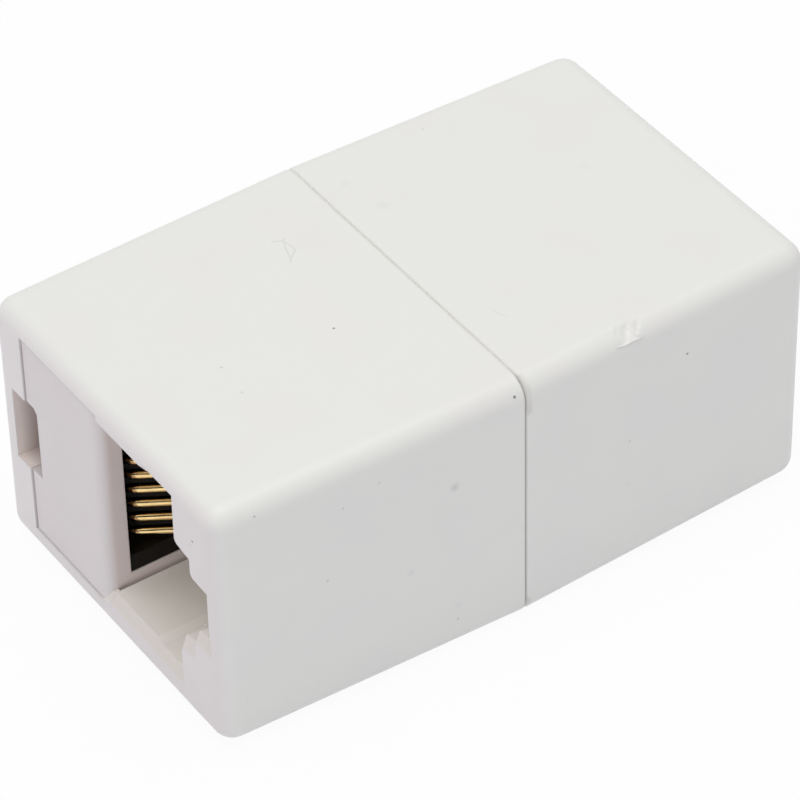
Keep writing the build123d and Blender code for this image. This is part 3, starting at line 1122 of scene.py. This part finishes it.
def flash_section(step):
    """Corners of the flash at one of its steps."""
    share = step / FLASH_STEPS
    y = FLASH_ENDS[0] + share * (FLASH_ENDS[1] - FLASH_ENDS[0])
    end = int(share > 0.5)
    sag = FLASH_SAGS[end] * abs(2 * share - 1) ** FLASH_POWERS[end]
    top = top_height(y) - FLASH_TOP - sag
    low = top - FLASH_THICKNESS
    corners = ((-FLASH_HALF, low), (FLASH_HALF, low), (FLASH_HALF, top), (-FLASH_HALF, top))
    return [(x, y, z) for x, z in corners]


def seam_flash(finish):
    """Thin strip that nearly closes the seam on top, and sinks towards the camera."""
    material = moulded_plastic(
        "seam_flash_plastic", finish.seam_colour, finish.warm_colour, finish.roughness, finish, FLASH_SOFTNESS
    ).material
    shape = bmesh.new()
    rings = [
        [shape.verts.new(corner) for corner in flash_section(step)] for step in range(FLASH_STEPS + 1)
    ]
    for first, second in zip(rings, rings[1:]):
        for corner in range(4):
            following = (corner + 1) % 4
            shape.faces.new((first[corner], first[following], second[following], second[corner]))
    shape.faces.new(reversed(rings[0]))
    shape.faces.new(rings[-1])
    bmesh.ops.recalc_face_normals(shape, faces=shape.faces)
    return mesh_of("seam_flash", shape, material)


class COUPLER_OT_finish_shells(Operator):
    """Give both half shells their white plastic, and the far one its nick"""

    bl_idname = "coupler.finish_shells"
    bl_label = "Finish Shells"

    def execute(self, context):
        finish = context.scene.coupler_shell
        material = shell_material(finish)
        set_material("near_shell", material)
        add_piece("far_shell_nicked", chipped_shell(material), "housing", "far_shell")
        add_piece("seat_lips", seat_lips(material), "housing")
        add_piece("seam_flash", seam_flash(finish), "housing")
        return {"FINISHED"}


class COUPLER_OT_finish_inserts(Operator):
    """Give the inserts and the cores behind them their plastic"""

    bl_idname = "coupler.finish_inserts"
    bl_label = "Finish Inserts"

    def execute(self, context):
        scene = context.scene
        insert = insert_material(scene.coupler_insert, scene.coupler_shell)
        core = core_material(scene.coupler_insert, scene.coupler_shell)
        for port in ("near", "far"):
            set_material(port + "_insert", insert)
            set_material(port + "_core", core)
        return {"FINISHED"}


class COUPLER_OT_finish_combs(Operator):
    """Give both combs their black plastic"""

    bl_idname = "coupler.finish_combs"
    bl_label = "Finish Combs"

    def execute(self, context):
        scene = context.scene
        material = comb_material(scene.coupler_comb, scene.coupler_shell)
        for port in ("near", "far"):
            set_material(port + "_comb", material)
        return {"FINISHED"}


class COUPLER_OT_add_contacts(Operator):
    """Bend the eight gold wires that run from port to port"""

    bl_idname = "coupler.add_contacts"
    bl_label = "Add Spring Contacts"

    def execute(self, context):
        shape = context.scene.coupler_contacts
        values = {
            "Wire Radius": shape.diameter / 2,
            "Hook Radius": shape.hook_radius,
            "Crossing Radius": shape.cross_radius,
            "Crossing End": shape.cross_half + shape.cross_radius,
            "Pitch": shape.pitch,
            "Wires": shape.count,
            "Bend Steps": shape.bend_steps,
            "Sides": shape.sides,
        }
        mesh = run_tree(wire_route(shape), wire_tree(gold_material(shape)), values)
        if not mesh.polygons:
            raise RuntimeError("the spring contacts came out empty")
        add_piece("spring_contacts", mesh, "contact", *WIRE_NAMES)
        return {"FINISHED"}


# The camera's sensor in millimetres, and the nearest distance that it sees
SENSOR_WIDTH = 36
NEAREST = 0.01

# Steps of the floor and round the card
FLOOR_CELLS = 8
CARD_SIDES = 48


def towards(azimuth, elevation):
    """Direction out from the coupler at an azimuth and elevation."""
    level = math.cos(elevation)
    return Vector((math.sin(azimuth) * level, -math.cos(azimuth) * level, math.sin(elevation)))


def view_axes(stage):
    """Right, up and back directions of the camera."""
    back = towards(stage.azimuth, stage.elevation)
    right = Vector((math.cos(stage.azimuth), math.sin(stage.azimuth), 0))
    up = back.cross(right)
    turn = Matrix.Rotation(stage.roll, 3, back)
    return turn @ right, turn @ up, back


def add_camera(stage):
    """Camera at the photograph's viewing angle."""
    right, up, back = view_axes(stage)
    aim = Vector((0, 0, HEIGHT / 2)) + right * stage.aim_right + up * stage.aim_up
    data = bpy.data.cameras.new("view")
    data.sensor_fit = "HORIZONTAL"
    data.sensor_width = SENSOR_WIDTH
    data.lens = stage.lens
    data.clip_start = NEAREST
    camera = add_object("view", data)
    turn = Matrix((right, up, back)).transposed().to_4x4()
    camera.matrix_world = Matrix.Translation(aim + back * stage.distance) @ turn
    bpy.context.scene.camera = camera


def seen_directly(tree):
    """1 where the camera, a reflection or a clear surface looks, and 0 for plain light."""
    rays = shade(tree, "ShaderNodeLightPath").outputs
    return strongest(tree, [rays[f"Is {kind} Ray"] for kind in ("Camera", "Glossy", "Transmission")])


def add_floor(stage):
    """Pale floor that keeps a faint shadow."""
    material, tree = empty_material("pale_floor")
    matt = shade(tree, "ShaderNodeBsdfDiffuse", {"Color": opaque(stage.floor_colour)})
    glow = shade(tree, "ShaderNodeEmission", {"Strength": 1.0})
    share = calc(tree, "MULTIPLY", seen_directly(tree), stage.floor_glow)
    both = shade(tree, "ShaderNodeMixShader", {0: share, 1: matt.outputs[0], 2: glow.outputs[0]})
    shade(tree, "ShaderNodeOutputMaterial", {"Surface": both.outputs[0]})
    shape = bmesh.new()
    half = stage.floor_size / 2
    bmesh.ops.create_grid(shape, x_segments=FLOOR_CELLS, y_segments=FLOOR_CELLS, size=half)
    floor = add_object("floor", mesh_of("floor", shape, material))


def add_sky(stage):
    """Even light from all sides, white where it is seen."""
    world = bpy.data.worlds.new("studio")
    world.use_nodes = True
    tree = world.node_tree
    tree.nodes.clear()
    strength = between(tree, seen_directly(tree), stage.sky_strength, 1.0, 0.0, 1.0)
    sky = shade(tree, "ShaderNodeBackground", {"Color": (1, 1, 1, 1), "Strength": strength})
    shade(tree, "ShaderNodeOutputWorld", {"Surface": sky.outputs[0]})
    bpy.context.scene.world = world


def add_lamp(name, place, size, power):
    """Square soft lamp that looks at the coupler."""
    data = bpy.data.lights.new(name, "AREA")
    data.shape = "SQUARE"
    data.size = size
    data.energy = power
    lamp = add_object(name, data)
    lamp.location = place
    lamp.rotation_euler = place.to_track_quat("Z", "Y").to_euler()
    lamp.visible_camera = False


def add_card(stage):
    """Dark card behind the camera that only shows in gloss, and gives the gold its dark line."""
    material, tree = empty_material("dark_card")
    matt = shade(tree, "ShaderNodeBsdfDiffuse", {"Color": (0, 0, 0, 1)})
    shade(tree, "ShaderNodeOutputMaterial", {"Surface": matt.outputs[0]})
    back = towards(stage.azimuth, stage.elevation)
    shape = bmesh.new()
    bmesh.ops.create_circle(shape, cap_ends=True, segments=CARD_SIDES, radius=stage.card_radius)
    turn = back.to_track_quat("Z", "Y").to_matrix().to_4x4()
    shape.transform(Matrix.Translation(back * stage.card_distance) @ turn)
    card = add_object("dark_card", mesh_of("dark_card", shape, material))
    for rays in ("camera", "diffuse", "transmission", "shadow"):
        setattr(card, "visible_" + rays, False)


class COUPLER_OT_build_stage(Operator):
    """Add the floor, the soft light and the camera"""

    bl_idname = "coupler.build_stage"
    bl_label = "Build Stage"

    def execute(self, context):
        stage = context.scene.coupler_stage
        context.scene.view_settings.view_transform = "Standard"
        add_camera(stage)
        add_sky(stage)
        add_lamp("overhead", Vector((0, 0, stage.top_height)), stage.top_size, stage.top_power)
        front = towards(stage.front_azimuth, stage.front_elevation)
        add_lamp("front", front * stage.front_distance, stage.front_size, stage.front_power)
        add_card(stage)
        if stage.show_floor:
            add_floor(stage)
        return {"FINISHED"}


class COUPLER_PT_looks(Panel):
    """Sizes, colours and buttons of the coupler"""

    bl_label = "Inline Coupler"
    bl_idname = "COUPLER_PT_looks"
    bl_space_type = "VIEW_3D"
    bl_region_type = "UI"
    bl_category = "Coupler"

    def draw(self, context):
        for setting, (kind, operator) in SECTIONS.items():
            box = self.layout.box()
            for name in kind.__annotations__:
                box.prop(getattr(context.scene, setting), name)
            box.operator(operator.bl_idname)


# The settings on the scene, each with its group and its operator
SECTIONS = {
    "coupler_stage": (StageSetup, COUPLER_OT_build_stage),
    "coupler_shell": (ShellFinish, COUPLER_OT_finish_shells),
    "coupler_insert": (InsertFinish, COUPLER_OT_finish_inserts),
    "coupler_comb": (CombFinish, COUPLER_OT_finish_combs),
    "coupler_contacts": (ContactShape, COUPLER_OT_add_contacts),
}
CLASSES = [item for pair in SECTIONS.values() for item in pair] + [COUPLER_PT_looks]


def register():
    for item in CLASSES:
        bpy.utils.register_class(item)
    for setting, (kind, operator) in SECTIONS.items():
        setattr(bpy.types.Scene, setting, PointerProperty(type=kind))


def unregister():
    for setting in SECTIONS:
        delattr(bpy.types.Scene, setting)
    for item in reversed(CLASSES):
        bpy.utils.unregister_class(item)


def main():
    register()
    bpy.ops.coupler.build_stage()
    bpy.ops.coupler.finish_shells()
    bpy.ops.coupler.finish_inserts()
    bpy.ops.coupler.finish_combs()
    bpy.ops.coupler.add_contacts()


if __name__ == "__main__":
    main()
